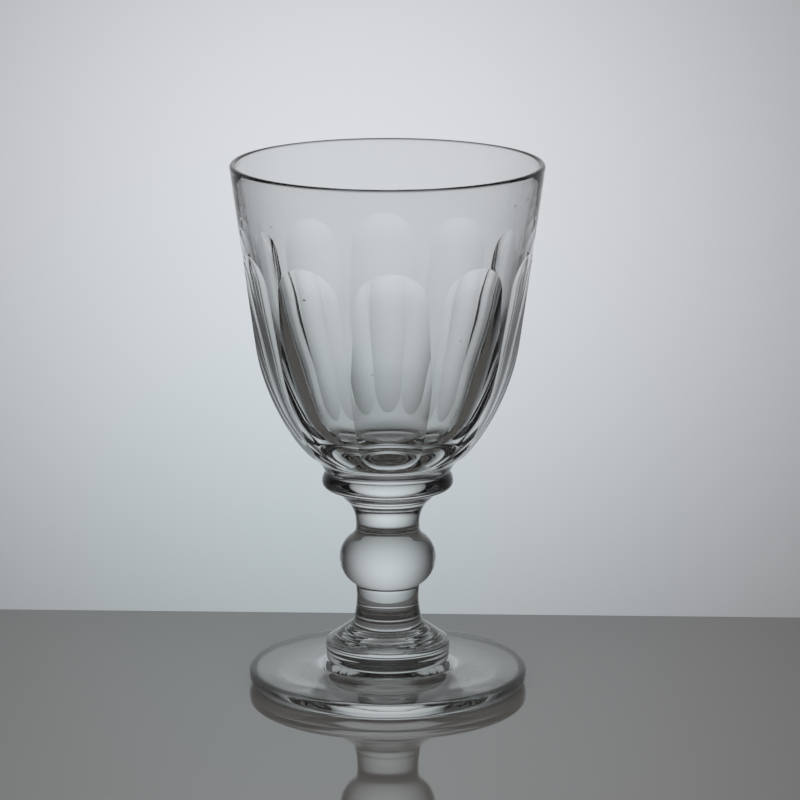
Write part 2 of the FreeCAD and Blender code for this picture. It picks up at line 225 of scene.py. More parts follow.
def makeGroup(name, inputs, output):
    tree = bpy.data.node_groups.new(name, "ShaderNodeTree")
    for label, value in inputs:
        socket = tree.interface.new_socket(label, in_out="INPUT", socket_type="NodeSocketFloat")
        socket.default_value = value
    tree.interface.new_socket(output, in_out="OUTPUT", socket_type="NodeSocketFloat")
    return tree, tree.nodes.new("NodeGroupInput"), tree.nodes.new("NodeGroupOutput")


def calculate(nodes, links, operation, first, second):
    node = nodes.new("ShaderNodeMath")
    node.operation = operation
    for socket, value in zip(node.inputs, (first, second)):
        if isinstance(value, bpy.types.NodeSocket):
            links.new(value, socket)
        else:
            socket.default_value = value
    return node.outputs[0]


def makeCordGroup():
    # slow waves where the gather was uneven, drawn out by its weight
    tree, given, result = makeGroup(
        "cordsInGlass", (("Size", 0.008), ("Stretch", 0.5), ("Depth", 3e-6)), "Height")
    nodes, links = tree.nodes, tree.links
    coords = nodes.new("ShaderNodeTexCoord")
    drawn = nodes.new("ShaderNodeCombineXYZ")
    drawn.inputs["X"].default_value = 1.0
    drawn.inputs["Y"].default_value = 1.0
    place = nodes.new("ShaderNodeVectorMath")
    place.operation = "MULTIPLY"
    noise = nodes.new("ShaderNodeTexNoise")
    noise.inputs["Detail"].default_value = 1.5
    noise.inputs["Roughness"].default_value = 0.4
    noise.inputs["Distortion"].default_value = 0.3
    links.new(given.outputs["Stretch"], drawn.inputs["Z"])
    links.new(coords.outputs["Object"], place.inputs[0])
    links.new(drawn.outputs[0], place.inputs[1])
    links.new(place.outputs[0], noise.inputs["Vector"])
    links.new(calculate(nodes, links, "DIVIDE", 1.0, given.outputs["Size"]), noise.inputs["Scale"])
    centred = calculate(nodes, links, "SUBTRACT", noise.outputs[0], 0.5)
    links.new(calculate(nodes, links, "MULTIPLY", centred, given.outputs["Depth"]), result.inputs["Height"])
    return tree


def makeToolGroup():
    # fine rings left by the tools that pressed on the hot glass while it turned
    tree, given, result = makeGroup(
        "toolRings", (("Spacing", 0.002), ("Wander", 0.6), ("Depth", 3e-6)), "Height")
    nodes, links = tree.nodes, tree.links
    coords = nodes.new("ShaderNodeTexCoord")
    parts = nodes.new("ShaderNodeSeparateXYZ")
    flat = nodes.new("ShaderNodeCombineXYZ")
    across = nodes.new("ShaderNodeVectorMath")
    across.operation = "LENGTH"
    outward = nodes.new("ShaderNodeVectorMath")
    outward.operation = "NORMALIZE"
    wander = nodes.new("ShaderNodeVectorMath")
    wander.operation = "SCALE"
    place = nodes.new("ShaderNodeVectorMath")
    place.operation = "ADD"
    ring = nodes.new("ShaderNodeCombineXYZ")
    noise = nodes.new("ShaderNodeTexNoise")
    noise.inputs["Scale"].default_value = 1.0
    noise.inputs["Detail"].default_value = 2.0
    noise.inputs["Roughness"].default_value = 0.45
    links.new(coords.outputs["Object"], parts.inputs[0])
    links.new(parts.outputs["X"], flat.inputs["X"])
    links.new(parts.outputs["Y"], flat.inputs["Y"])
    links.new(flat.outputs[0], across.inputs[0])
    links.new(flat.outputs[0], outward.inputs[0])
    links.new(outward.outputs[0], wander.inputs[0])
    links.new(given.outputs["Wander"], wander.inputs["Scale"])
    along = calculate(nodes, links, "SUBTRACT", parts.outputs["Z"], across.outputs["Value"])
    links.new(calculate(nodes, links, "DIVIDE", along, given.outputs["Spacing"]), ring.inputs["Z"])
    links.new(wander.outputs[0], place.inputs[0])
    links.new(ring.outputs[0], place.inputs[1])
    links.new(place.outputs[0], noise.inputs["Vector"])
    centred = calculate(nodes, links, "SUBTRACT", noise.outputs[0], 0.5)
    links.new(calculate(nodes, links, "MULTIPLY", centred, given.outputs["Depth"]), result.inputs["Height"])
    return tree


def makeWearGroup():
    # roughness of the ring that has stood on tables: rubbed dull, with fine scratches
    tree, given, result = makeGroup(
        "standingWear", (("Reach", 0.00025), ("Dullness", 0.3)), "Roughness")
    nodes, links = tree.nodes, tree.links
    coords = nodes.new("ShaderNodeTexCoord")
    parts = nodes.new("ShaderNodeSeparateXYZ")
    low = nodes.new("ShaderNodeMapRange")
    low.interpolation_type = "SMOOTHSTEP"
    low.inputs["To Min"].default_value = 1.0
    low.inputs["To Max"].default_value = 0.0
    scratches = nodes.new("ShaderNodeTexNoise")
    scratches.inputs["Scale"].default_value = 2600.0
    scratches.inputs["Detail"].default_value = 3.0
    links.new(coords.outputs["Object"], parts.inputs[0])
    links.new(coords.outputs["Object"], scratches.inputs["Vector"])
    links.new(parts.outputs["Z"], low.inputs["Value"])
    links.new(given.outputs["Reach"], low.inputs["From Max"])
    rubbed = calculate(nodes, links, "MULTIPLY", low.outputs[0], scratches.outputs[0])
    dull = calculate(nodes, links, "MULTIPLY", rubbed, given.outputs["Dullness"])
    links.new(dull, result.inputs["Roughness"])
    return tree


cordsInGlass = makeCordGroup()
toolRings = makeToolGroup()
standingWear = makeWearGroup()


def addGroup(nodes, tree, values):
    node = nodes.new("ShaderNodeGroup")
    node.node_tree = tree
    for label, value in values.items():
        node.inputs[label].default_value = value
    return node


def makeGlass(name, size):
    material, nodes, links, output = newMaterial(name)
    shader = nodes.new("ShaderNodeBsdfPrincipled")
    shader.inputs["Base Color"].default_value = (*size["tint"], 1)
    shader.inputs["Roughness"].default_value = 0.0
    shader.inputs["IOR"].default_value = 1.5
    shader.inputs["Transmission Weight"].default_value = 1.0
    cords = addGroup(nodes, cordsInGlass, size["cords"])
    rings = addGroup(nodes, toolRings, size["rings"])
    uneven = nodes.new("ShaderNodeBump")
    uneven.inputs["Strength"].default_value = 1.0
    uneven.inputs["Distance"].default_value = 1.0
    height = calculate(nodes, links, "ADD", cords.outputs[0], rings.outputs[0])
    links.new(height, uneven.inputs["Height"])
    links.new(uneven.outputs[0], shader.inputs["Normal"])
    if "wear" in size:
        links.new(addGroup(nodes, standingWear, size["wear"]).outputs[0], shader.inputs["Roughness"])
    links.new(shader.outputs["BSDF"], output.inputs["Surface"])
    return material


def makeJoint():
    # inside a fused joint there is only glass, so its disc can't be seen
    material, nodes, links, output = newMaterial("fusedJoint")
    shader = nodes.new("ShaderNodeBsdfPrincipled")
    shader.inputs["Alpha"].default_value = 0.0
    shader.inputs["Roughness"].default_value = 0.0
    links.new(shader.outputs["BSDF"], output.inputs["Surface"])
    return material


fusedJoint = makeJoint()


# the disc foot; sizes are in millimetres here and below, but in metres for cords, rings and wear
foot = {
    "radius": 36.86, "height": 7.0, "jointRadius": 16.2,
    "contactWidth": 3.26, "edgeLowerRound": 2.6, "edgeTop": 3.6, "edgeUpperRound": 1.25,
    "sweepWidth": 4.2, "sweepDrop": 1.1,
    "pontilRadius": 9.5, "pontilRise": 1.6, "pontilDepth": 0.9,
    "tint": (0.996, 0.984, 0.973),
    "cords": {"Size": 0.009, "Stretch": 0.5, "Depth": 2.4e-5},
    "rings": {"Spacing": 0.0035, "Wander": 0.5, "Depth": 1.2e-5},
    "wear": {"Reach": 0.00004, "Dullness": 0.3},   # only the ring that stands on the table
}


def footOutline(size):
    rim = size["radius"]
    lowerCentre = Vector((rim - size["edgeLowerRound"], size["edgeLowerRound"]))
    upperCentre = Vector((rim - size["edgeUpperRound"], size["edgeTop"]))
    joint = Vector((size["jointRadius"], size["height"]))
    shelf = Vector((joint.x + size["sweepWidth"], joint.y - size["sweepDrop"]))
    shelfEdge = touching(shelf, upperCentre, size["edgeUpperRound"], onLeft)
    sweepCentre, sweepTurn, _ = arcLeaving(shelf, (shelf - shelfEdge).normalized(), joint)
    hollowTop = Vector((0, size["pontilRise"] + size["pontilDepth"]))
    hollowEdge = Vector((size["pontilRadius"], size["pontilRise"]))
    hollowRound = (hollowEdge.x ** 2 + size["pontilDepth"] ** 2) / (2 * size["pontilDepth"])
    shape = Outline(hollowTop)
    shape.arc(hollowTop - Vector((0, hollowRound)), hollowEdge, clockwise)
    # the hollow underside meets the standing ring without an edge
    ringInner = Vector((lowerCentre.x - size["contactWidth"], 0))
    underRadius = ((ringInner.x - hollowEdge.x) ** 2 + hollowEdge.y ** 2) / (2 * hollowEdge.y)
    shape.arc(ringInner + Vector((0, underRadius)), ringInner, anticlockwise, step=1.2)
    shape.line((lowerCentre.x, 0), step=1.2)
    shape.arc(lowerCentre, (rim, lowerCentre.y), anticlockwise)
    shape.line((rim, upperCentre.y), step=0.6)
    shape.arc(upperCentre, shelfEdge, anticlockwise)
    shape.line(shelf)
    shape.arc(sweepCentre, joint, sweepTurn, step=0.5)
    shape.disc((0, joint.y))
    return shape


# the domed pad under the stem; its seeds are given as degrees from the front, radius and height
collar = {
    "jointRadius": 16.2, "height": 11.9, "bulge": 0.24, "widest": 3.8,
    "shoulderRound": 1.8, "neckRound": 3.3, "neckRadius": 8.7,
    "tint": (0.99, 0.978, 0.965),
    "cords": {"Size": 0.006, "Stretch": 0.6, "Depth": 2.4e-5},
    "rings": {"Spacing": 0.0024, "Wander": 0.15, "Depth": 2.0e-4},
    "seedSize": (0.12, 0.34),
    "seeds": (
        (24.0, 11.1, 7.3), (24.8, 12.6, 6.3), (36.8, 10.7, 7.6), (36.3, 12.1, 6.6), (28.3, 13.8, 5.4),
        (30.9, 14.8, 4.7), (20.0, 14.4, 5.0), (35.7, 14.4, 5.0), (30.2, 11.6, 7.0), (15.3, 14.6, 4.9),
        (-11.7, 14.8, 4.6), (-40.4, 9.2, 8.7), (-108.3, 11.6, 7.0), (102.5, 11.9, 6.8)),
}


def collarOutline(size):
    joint = Vector((size["jointRadius"], 0))
    widest = Vector((size["jointRadius"] + size["bulge"], size["widest"]))
    neck = Vector((size["neckRadius"], size["height"]))
    shoulderCentre = widest - Vector((size["shoulderRound"], 0))
    neckCentre = neck + Vector((size["neckRound"], 0))
    reach = touching(neckCentre, shoulderCentre, size["shoulderRound"] + size["neckRound"], onLeft)
    slopeStart = toward(shoulderCentre, reach, size["shoulderRound"])
    slopeEnd = neckCentre - (slopeStart - shoulderCentre) * (size["neckRound"] / size["shoulderRound"])
    shape = Outline((0, 0))
    shape.disc(joint)
    shape.arc(levelCentre(widest, joint), widest, anticlockwise, step=0.4)
    shape.arc(shoulderCentre, slopeStart, anticlockwise, step=0.4)
    shape.line(slopeEnd, step=0.8)
    shape.arc(neckCentre, neck, clockwise, step=0.3)
    shape.disc((0, neck.y))
    return shape


# one gather: short lower neck, ball knop, upper neck and flare
stem = {
    "footRadius": 8.7, "neckInset": 0.5, "neckHeight": 4.9, "neckSweep": 20.0, "underRound": 2.3,
    "knopRadius": 12.75, "knopHeight": 15.5, "knopLower": 7.9, "knopUpper": 7.4, "overRound": 2.9,
    "upperNeck": 8.37, "upperLength": 1.2, "headRise": 16.6, "headRadius": 11.75,
    "tint": (0.985, 0.98, 0.975),
    "cords": {"Size": 0.008, "Stretch": 0.4, "Depth": 0.6e-5},
    "rings": {"Spacing": 0.003, "Wander": 0.5, "Depth": 0.3e-5},
}


def stemOutline(size):
    base = Vector((size["footRadius"], 0))
    waist = Vector((size["footRadius"] - size["neckInset"], size["neckHeight"]))
    widest = Vector((size["knopRadius"], size["knopHeight"]))
    head = Vector((size["headRadius"], size["knopHeight"] + size["headRise"]))
    neckCentre = waist + Vector((size["neckSweep"], 0))
    knopLower = widest - Vector((size["knopLower"], 0))
    knopUpper = widest - Vector((size["knopUpper"], 0))
    underRound = size["underRound"]
    underCentre = circlesMeet(
        knopLower, size["knopLower"] + underRound, neckCentre, size["neckSweep"] - underRound, onRight)
    neckEnd = toward(neckCentre, underCentre, size["neckSweep"])
    knopStart = toward(knopLower, underCentre, size["knopLower"])
    overAcross = size["upperNeck"] + size["overRound"]
    rise = math.sqrt((size["knopUpper"] + size["overRound"]) ** 2 - (overAcross - knopUpper.x) ** 2)
    overCentre = Vector((overAcross, widest.y + rise))
    knopEnd = toward(knopUpper, overCentre, size["knopUpper"])
    overEnd = overCentre - Vector((size["overRound"], 0))
    flareStart = overEnd + Vector((0, size["upperLength"]))
    shape = Outline((0, 0))
    shape.disc(base)
    shape.arc(levelCentre(waist, base), waist, clockwise, step=0.5)
    shape.arc(neckCentre, neckEnd, clockwise, step=0.5)
    shape.arc(underCentre, knopStart, clockwise, step=0.2)
    shape.arc(knopLower, widest, anticlockwise, step=0.4)
    shape.arc(knopUpper, knopEnd, anticlockwise, step=0.4)
    shape.arc(overCentre, overEnd, clockwise, step=0.25)
    shape.line(flareStart, step=0.4)
    shape.arc(levelCentre(flareStart, head), head, clockwise, step=0.4)
    shape.disc((0, head.y))
    return shape


# the flattened ring between the stem and the bowl
merese = {
    "stemRadius": 11.75, "height": 6.9, "bowlRadius": 16.4, "overhang": 0.9,
    "rimHeight": 4.3, "rimRound": 1.6, "underSweep": 9.5,
    "tint": (0.985, 0.985, 0.98),
    "cords": {"Size": 0.008, "Stretch": 0.5, "Depth": 0.6e-5},
    "rings": {"Spacing": 0.0016, "Wander": 0.5, "Depth": 0.5e-5},
}


def mereseOutline(size):
    base = Vector((size["stemRadius"], 0))
    rim = Vector((size["bowlRadius"] + size["overhang"], size["rimHeight"]))
    top = Vector((size["bowlRadius"], size["height"]))
    lowerCentre = rim - Vector((size["rimRound"], 0))
    sweep = size["underSweep"]
    underCentre = circlesMeet(base, sweep, lowerCentre, sweep + size["rimRound"], onRight)
    underEnd = toward(lowerCentre, underCentre, size["rimRound"])
    shape = Outline((0, 0))
    shape.disc(base)
    shape.arc(underCentre, underEnd, clockwise, step=0.4)
    shape.arc(lowerCentre, rim, anticlockwise, step=0.2)
    shape.arc(levelCentre(rim, top), top, anticlockwise, step=0.25)
    shape.disc((0, top.y))
    return shape


# the bowl and the broad flutes cut round it
bowl = {
    "footRadius": 16.4, "height": 82.1,
    "bellyFoot": (3.2, 4.11), "bellyTop": (9.25, 10.4), "shoulder": (34.6, 34.5),
    "lipRadius": 40.22, "lipRound": 0.76, "wall": 3.12, "bend": 49.7,
    "floor": 6.4, "wellRadius": 6.0, "wellRise": 0.5, "wellRound": 23.0,
    "flutes": 10, "fluteTop": 52.45, "topDepth": 1.17, "shoulderDepth": 1.54, "bellyDepth": 1.3,
    "footDepth": -0.5, "wheelRound": 32.0, "fluteFootRound": 4.0,
    "columns": 22,            # of faces, from the middle of a flute to its edge
    "tint": (0.974, 0.977, 0.975),
    "cords": {"Size": 0.008, "Stretch": 0.22, "Depth": 1.0e-5},
    "rings": {"Spacing": 0.004, "Wander": 1.0, "Depth": 0.1e-5},
    "seedSize": (0.16, 0.28),
    "seeds": (
        (62.9, 38.9, 75.6), (53.7, 38.7, 75.0), (-8.6, 31.9, 33.1), (31.8, 33.3, 41.0), (-38.2, 35.4, 51.7),
        (171.0, 38.0, 66.0), (-120.0, 37.4, 60.3), (98.0, 33.2, 40.2), (-71.0, 38.3, 70.4)),
}


def radiusAt(points, height):
    # radius of an outline that falls steadily, at a height
    place = bisect.bisect_left(points, -height, key=lambda point: -point.y)
    place = min(max(place, 1), len(points) - 1)
    above, below = points[place - 1], points[place]
    part = (above.y - height) / (above.y - below.y)
    return above.x + (below.x - above.x) * part


fineStep = 0.02               # for outlines from which a radius is read at any height
unbroken = 50                 # longer than any straight part of an outline
wheelStart = 0.35             # a flute's outline starts this share of the wheel's radius in from it
fluteEnd = Vector((0.2, -0.9798))   # way from the centre of the run-out to its end


def bowlOutlines(size):
    # three lists of points from the top down: uncut outside, middle of a flute, inside
    footRadius = size["footRadius"]
    bellyFoot = Vector((footRadius + size["bellyFoot"][0], size["bellyFoot"][1]))
    bellyTop = Vector((footRadius + size["bellyTop"][0], size["bellyTop"][1]))
    shoulder = Vector(size["shoulder"])
    lipHeight = size["height"] - size["lipRound"]
    lip = Vector((size["lipRadius"], lipHeight))
    outerTop = touching(shoulder, lip, size["lipRound"], onRight)
    wallWay = (shoulder - outerTop).normalized()
    shoulderCentre, shoulderTurn, shoulderWay = arcLeaving(shoulder, wallWay, bellyTop)
    bellyCentre, bellyTurn, bellyWay = arcLeaving(bellyTop, shoulderWay, bellyFoot)
    sweepCentre, sweepTurn, _ = arcLeaving(bellyFoot, bellyWay, Vector((footRadius, 0)))
    outside = Outline(outerTop)
    outside.line(shoulder, step=unbroken)
    outside.arc(shoulderCentre, bellyTop, shoulderTurn, step=fineStep)
    outside.arc(bellyCentre, bellyFoot, bellyTurn, step=fineStep)
    outside.arc(sweepCentre, (footRadius, 0), sweepTurn, step=fineStep)

    lean = (size["lipRadius"] + size["lipRound"] - shoulder.x) / (lipHeight - shoulder.y)
    top = Vector((shoulder.x + lean * (size["fluteTop"] - shoulder.y) - size["topDepth"], size["fluteTop"]))
    middle = shoulder - Vector((size["shoulderDepth"], 0))
    low = bellyTop - Vector((size["bellyDepth"], 0))
    foot = bellyFoot - Vector((size["footDepth"], 0))
    way = (middle - top).normalized()
    wheel = size["wheelRound"]
    wheelCentre = top + leftOf(way) * wheel
    middleCentre, middleTurn, lowWay = arcLeaving(middle, way, low)
    lowCentre, lowTurn, footWay = arcLeaving(low, lowWay, foot)
    footCentre = foot + leftOf(footWay) * size["fluteFootRound"]
    flute = Outline(wheelCentre + Vector((-wheel * wheelStart, wheel * math.sqrt(1 - wheelStart ** 2))))
    flute.arc(wheelCentre, top, anticlockwise, step=fineStep)
    flute.line(middle, step=unbroken)
    flute.arc(middleCentre, low, middleTurn, step=fineStep)
    flute.arc(lowCentre, foot, lowTurn, step=fineStep)
    flute.arc(footCentre, footCentre + fluteEnd * size["fluteFootRound"], anticlockwise, step=fineStep)

    bend = Vector((shoulder.x + lean * (size["bend"] - shoulder.y) - size["wall"], size["bend"]))
    innerTop = touching(bend, lip, size["lipRound"], onLeft)
    floor = Vector((0, size["floor"]))
    well = Vector((size["wellRadius"], size["floor"] + size["wellRise"]))
    wellCentre, _, wellWay = arcLeaving(floor, Vector((1, 0)), well)
    wellRound = size["wellRound"]
    cornerCentre = well + leftOf(wellWay) * wellRound
    inward = leftOf((innerTop - bend).normalized())
    away = bend - cornerCentre
    sweep = (wellRound ** 2 - away.dot(away)) / (2 * (wellRound + inward.dot(away)))
    sweepCentre = bend + inward * sweep
    inside = Outline(outerTop)
    inside.arc(lip, innerTop, anticlockwise, step=0.1)
    inside.line(bend, step=3.0)
    inside.arc(sweepCentre, toward(sweepCentre, cornerCentre, sweep), clockwise, step=1.2)
    inside.arc(cornerCentre, well, clockwise, step=0.5)
    inside.arc(wellCentre, floor, clockwise, step=0.8)
    return outside.points, flute.points, inside.points


halvings, trials = 60, 600    # steps that find the edge of a flute, and places tried along it
insideFlute = 20.0            # a height at which the flute is cut right up to its neighbours
bellyHeight = 12.0            # the rows of faces are closer together below this
discShares = (0.25, 0.5, 0.75)  # where the joint disc has rings of corners, as shares of its radius


def makeSlice(size):
    # one flute of the bowl with half a land on each side, from the merese to the lip and down inside
    outside, flute, inside = bowlOutlines(size)
    half = math.pi / size["flutes"]
    highest, lowest = flute[0].y, flute[-1].y

    def cut(angle, height):
        # above 0 where the flute takes glass off
        return radiusAt(outside, height) * math.cos(angle) - radiusAt(flute, height)

    def border(angle, inner, outer):
        # height of the edge of the flute, between a height inside it and one outside it
        for _ in range(halvings):
            centre = (inner + outer) / 2
            if cut(angle, centre) > 0:
                inner = centre
            else:
                outer = centre
        return (inner + outer) / 2

    # columns are spaced evenly along the arch of the flute
    trial = [half * number / trials for number in range(trials + 1)]
    heights = [border(angle, insideFlute, highest) for angle in trial]
    lengths = [0.0]
    for number in range(trials):
        across = radiusAt(outside, heights[number]) * (trial[number + 1] - trial[number])
        lengths.append(lengths[-1] + math.hypot(across, heights[number + 1] - heights[number]))
    angles = []
    for number in range(size["columns"] + 1):
        goal = lengths[-1] * number / size["columns"]
        place = min(max(bisect.bisect_left(lengths, goal), 1), trials)
        part = (goal - lengths[place - 1]) / (lengths[place] - lengths[place - 1])
        angles.append(trial[place - 1] + (trial[place] - trial[place - 1]) * part)
    angles[-1] = half
    archRows = [border(angle, insideFlute, highest) for angle in angles]
    footRows = [border(angle, insideFlute, lowest) for angle in angles]

    def between(low, high, step):
        # heights from low to high, without either
        count = max(1, math.ceil((high - low) / step))
        return [low + (high - low) * number / count for number in range(1, count)]

    levels = [0.0] + between(0.0, footRows[0], step=0.4) + footRows
    levels += between(footRows[-1], bellyHeight, step=0.7) + [bellyHeight]
    levels += between(bellyHeight, archRows[-1], step=1.0)
    levels += archRows[::-1] + between(archRows[0], outside[0].y, step=2.5)
    levels = sorted(levels)
    columns = sorted(set([-angle for angle in angles] + angles))

    mesh = bmesh.new()
    rows = [[mesh.verts.new((0, 0, 0))] * len(columns)]
    for share in discShares:
        rows.append([(angle, size["footRadius"] * share, 0.0) for angle in columns])
    firstLevel = len(rows)
    lastLevel = firstLevel + len(levels) - 1
    for level in levels:
        plain = radiusAt(outside, level)
        ring = []
        for angle in columns:
            radius = plain
            if lowest < level < highest:
                radius = min(plain, radiusAt(flute, level) / math.cos(angle))
            ring.append((angle, radius, level))
        rows.append(ring)
    for point in inside[:-1]:
        rows.append([(angle, point.x, point.y) for angle in columns])
    for row in rows[1:]:
        for number, (angle, radius, level) in enumerate(row):
            row[number] = mesh.verts.new(around(angle, radius, level))
    rows.append([mesh.verts.new((0, 0, inside[-1].y * mm))] * len(columns))

    def side(row, column):
        # above 0 inside the flute, 0 on its edge and below 0 outside it
        level = levels[row - firstLevel]
        if not lowest < level < highest:
            return -1.0
        value = cut(columns[column], level)
        return 0.0 if abs(value) < tiny else value

    for row in range(len(rows) - 1):
        for column in range(len(columns) - 1):
            places = ((row, column), (row, column + 1), (row + 1, column + 1), (row + 1, column))
            corners = [rows[up][along] for up, along in places]
            if firstLevel <= row < lastLevel:
                signs = [side(up, along) for up, along in places]
                # a face that the edge of a flute crosses is split along that edge
                if signs[0] == signs[2] == 0 and signs[1] * signs[3] < 0:
                    mesh.faces.new((corners[0], corners[1], corners[2]))
                    mesh.faces.new((corners[0], corners[2], corners[3]))
                    continue
                if signs[1] == signs[3] == 0 and signs[0] * signs[2] < 0:
                    mesh.faces.new((corners[0], corners[1], corners[3]))
                    mesh.faces.new((corners[1], corners[2], corners[3]))
                    continue
            mesh.faces.new(list(dict.fromkeys(corners)))
    data = bpy.data.meshes.new("bowlSlice")
    mesh.to_mesh(data)
    mesh.free()
    return data


def newTree(name, inputs):
    tree = bpy.data.node_groups.new(name, "GeometryNodeTree")
    for label, kind in inputs:
        tree.interface.new_socket(label, in_out="INPUT", socket_type="NodeSocket" + kind)
    tree.interface.new_socket("Geometry", in_out="OUTPUT", socket_type="NodeSocketGeometry")
    return tree, tree.nodes.new("NodeGroupInput"), tree.nodes.new("NodeGroupOutput")


def makeFluteRing():
    # repeats a slice round the axis
    tree, given, result = newTree(
        "fluteRing", (("Geometry", "Geometry"), ("Flutes", "Int"), ("Glass", "Material")))
    nodes, links = tree.nodes, tree.links
    points = nodes.new("GeometryNodePoints")
    index = nodes.new("GeometryNodeInputIndex")
    share = nodes.new("ShaderNodeMath")
    share.operation = "DIVIDE"
    angle = nodes.new("ShaderNodeMath")
    angle.operation = "MULTIPLY"
    angle.inputs[1].default_value = 2 * math.pi
    spin = nodes.new("ShaderNodeCombineXYZ")
    turn = nodes.new("FunctionNodeEulerToRotation")
    place = nodes.new("GeometryNodeInstanceOnPoints")
    realize = nodes.new("GeometryNodeRealizeInstances")
    paint = nodes.new("GeometryNodeSetMaterial")
    links.new(given.outputs["Flutes"], points.inputs["Count"])
    links.new(index.outputs[0], share.inputs[0])
    links.new(given.outputs["Flutes"], share.inputs[1])
    links.new(share.outputs[0], angle.inputs[0])
    links.new(angle.outputs[0], spin.inputs["Z"])
    links.new(spin.outputs[0], turn.inputs[0])
    links.new(points.outputs[0], place.inputs["Points"])
    links.new(given.outputs["Geometry"], place.inputs["Instance"])
    links.new(turn.outputs[0], place.inputs["Rotation"])
    links.new(place.outputs[0], realize.inputs[0])
    links.new(realize.outputs[0], paint.inputs["Geometry"])
    links.new(given.outputs["Glass"], paint.inputs["Material"])
    links.new(paint.outputs[0], result.inputs[0])
    return tree


def baked(data, tree, values):
    # runs a geometry tree on a mesh and gives the result as a plain mesh
    helper = bpy.data.objects.new("helper", data)
    scene.collection.objects.link(helper)
    modifier = helper.modifiers.new("nodes", "NODES")
    modifier.node_group = tree
    for item in tree.interface.items_tree:
        if item.in_out == "INPUT" and item.name in values:
            modifier[item.identifier] = values[item.name]
    graph = bpy.context.evaluated_depsgraph_get()
    result = bpy.data.meshes.new_from_object(helper.evaluated_get(graph))
    helper.modifiers.remove(modifier)
    bpy.data.objects.remove(helper)
    return result


bubbleShape = (1.5, 1.0, 0.8)  # each seed is drawn out one way and flattened another
chance = 7                     # fixes which seed gets which size


def makeSeedTree():
    # a small closed bubble at each given point; its faces look inwards, as it is hollow
    tree, given, result = newTree("seeds", (
        ("Geometry", "Geometry"), ("Smallest", "Float"), ("Largest", "Float"), ("Seed", "Int"),
        ("Glass", "Material")))
    nodes, links = tree.nodes, tree.links
    bubble = nodes.new("GeometryNodeMeshIcoSphere")
    bubble.inputs["Radius"].default_value = 1.0
    bubble.inputs["Subdivisions"].default_value = 3
    hollow = nodes.new("GeometryNodeFlipFaces")
    draw = nodes.new("FunctionNodeRandomValue")
    drawn = nodes.new("ShaderNodeVectorMath")
    drawn.operation = "MULTIPLY"
    drawn.inputs[1].default_value = bubbleShape
    place = nodes.new("GeometryNodeInstanceOnPoints")
    realize = nodes.new("GeometryNodeRealizeInstances")
    paint = nodes.new("GeometryNodeSetMaterial")
    links.new(bubble.outputs["Mesh"], hollow.inputs[0])
    links.new(given.outputs["Smallest"], draw.inputs[2])
    links.new(given.outputs["Largest"], draw.inputs[3])
    links.new(given.outputs["Seed"], draw.inputs["Seed"])
    links.new(draw.outputs[1], drawn.inputs[0])
    links.new(given.outputs["Geometry"], place.inputs["Points"])
    links.new(hollow.outputs[0], place.inputs["Instance"])
    links.new(drawn.outputs[0], place.inputs["Scale"])
    links.new(place.outputs[0], realize.inputs[0])
    links.new(realize.outputs[0], paint.inputs["Geometry"])
    links.new(given.outputs["Glass"], paint.inputs["Material"])
    links.new(paint.outputs[0], result.inputs[0])
    return tree


seedTree = makeSeedTree()


def addSeeds(mesh, size, lift, glass):
    points = bpy.data.meshes.new("seedPoints")
    points.from_pydata(
        [around(math.radians(degrees), radius, height + lift) for degrees, radius, height in size["seeds"]],
        [], [])
    smallest, largest = size["seedSize"]
    bubbles = baked(points, seedTree, {
        "Smallest": smallest * mm, "Largest": largest * mm, "Seed": chance, "Glass": glass})
    for face in bubbles.polygons:
        face.material_index = glassSlot
    mesh.from_mesh(bubbles)


# heights at which the pieces start
lifts = {}
rise = 0.0
for name, size in (("foot", foot), ("step_collar", collar)):
    lifts[name] = rise
    rise += size["height"]
lifts["knopped_stem"] = rise
rise += stem["knopHeight"] + stem["headRise"]
lifts["merese"] = rise
rise += merese["height"]
lifts["bowl"] = rise

segments = 288                # of each turned piece
for name, size, outline in (
        ("foot", foot, footOutline), ("step_collar", collar, collarOutline),
        ("knopped_stem", stem, stemOutline), ("merese", merese, mereseOutline)):
    glass = makeGlass(name + "Glass", size)
    mesh = turned(outline(size), segments, lifts[name])
    if "seeds" in size:
        addSeeds(mesh, size, lifts[name], glass)
    piece = finished(name + "_glass", mesh, [glass, fusedJoint])
    settle(piece, name)
    print(name, "made,", len(piece.data.polygons), "faces")


weldDistance = 2e-7           # metres; corners closer than this become one
jointLevel = 1e-7             # metres; faces of the bowl below this are its joint disc


def makeBowl(size, lift):
    glass = makeGlass("bowlGlass", size)
    ring = baked(
        makeSlice(size), makeFluteRing(), {"Flutes": size["flutes"], "Glass": glass})
    mesh = bmesh.new()
    mesh.from_mesh(ring)
    bmesh.ops.remove_doubles(mesh, verts=mesh.verts, dist=weldDistance)
    for face in mesh.faces:
        top = max(vert.co.z for vert in face.verts)
        face.material_index = jointSlot if top < jointLevel else glassSlot
    for vert in mesh.verts:
        vert.co.z += lift * mm
    addSeeds(mesh, size, lift, glass)
    loose = [edge for edge in mesh.edges if len(edge.link_faces) != 2]
    print("bowl edges left open:", len(loose))
    return finished("bowl_glass", mesh, [glass, fusedJoint])


bowlPiece = makeBowl(bowl, lifts["bowl"])
settle(bowlPiece, "bowl")
print("bowl made,", len(bowlPiece.data.polygons), "faces")


